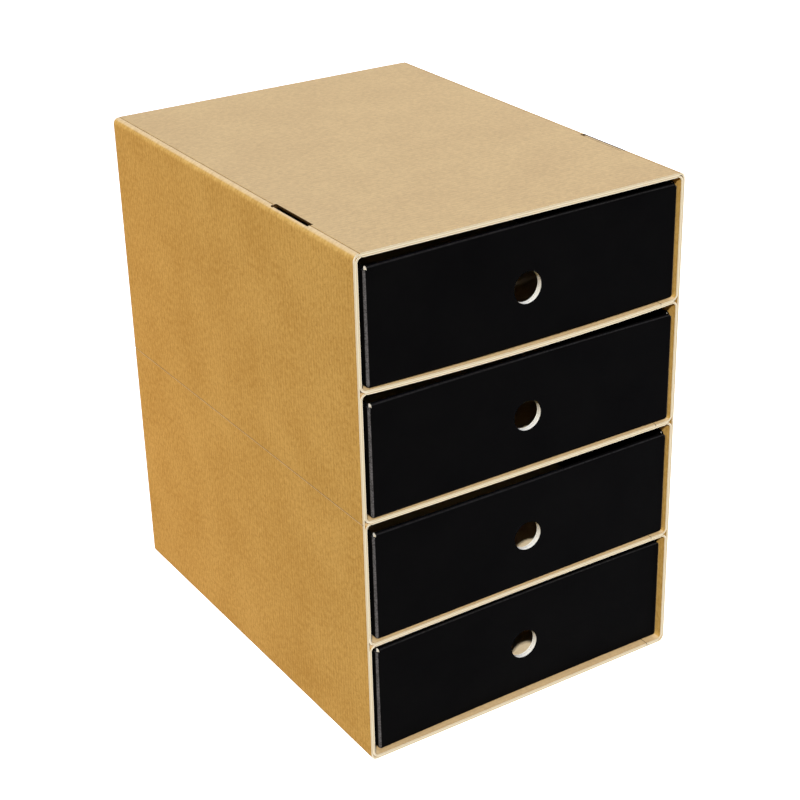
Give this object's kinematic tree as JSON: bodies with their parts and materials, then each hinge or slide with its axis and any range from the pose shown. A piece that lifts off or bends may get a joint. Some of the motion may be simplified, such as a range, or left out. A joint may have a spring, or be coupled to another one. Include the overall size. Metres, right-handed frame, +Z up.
{
  "type": "file box with drawers",
  "caption": "Kraft corrugated-board desk chest with sliding black trays, each pulled by a round finger hole, for A4 papers.",
  "frame": {"origin": "middle of the footprint, on the surface that the case stands on", "axes": "+Z up, +X to the right seen from the front, -Y towards the front, where the drawers come out"},
  "size_m": [0.25, 0.328, 0.358],
  "materials": {
    "kraft_board": "uncoated kraft liner on fine-flute corrugated board",
    "black_board": "black printed, lightly satin liner on fine-flute corrugated board, plain kraft inside",
    "core_board": "uncoated raw board"
  },
  "bodies": {
    "case": {"outer_sleeve": "kraft_board", "back_cap": "kraft_board", "cell_1": "kraft_board", "cell_2": "kraft_board", "cell_3": "kraft_board", "cell_4": "kraft_board"},
    "drawer_1": {"drawer_1_tray": "black_board", "drawer_1_front_core": "core_board"},
    "drawer_2": {"drawer_2_tray": "black_board", "drawer_2_front_core": "core_board"},
    "drawer_3": {"drawer_3_tray": "black_board", "drawer_3_front_core": "core_board"},
    "drawer_4": {"drawer_4_tray": "black_board", "drawer_4_front_core": "core_board"}
  },
  "joints": [
    {"name": "drawer_1_slide", "type": "slide", "parent": "case", "child": "drawer_1", "axis": [0, -1, 0], "range_m": [0, 0.3]},
    {"name": "drawer_2_slide", "type": "slide", "parent": "case", "child": "drawer_2", "axis": [0, -1, 0], "range_m": [-0.0034, 0.3]},
    {"name": "drawer_3_slide", "type": "slide", "parent": "case", "child": "drawer_3", "axis": [0, -1, 0], "range_m": [-0.0038, 0.3]},
    {"name": "drawer_4_slide", "type": "slide", "parent": "case", "child": "drawer_4", "axis": [0, -1, 0], "range_m": [-0.003, 0.3]}
  ]
}
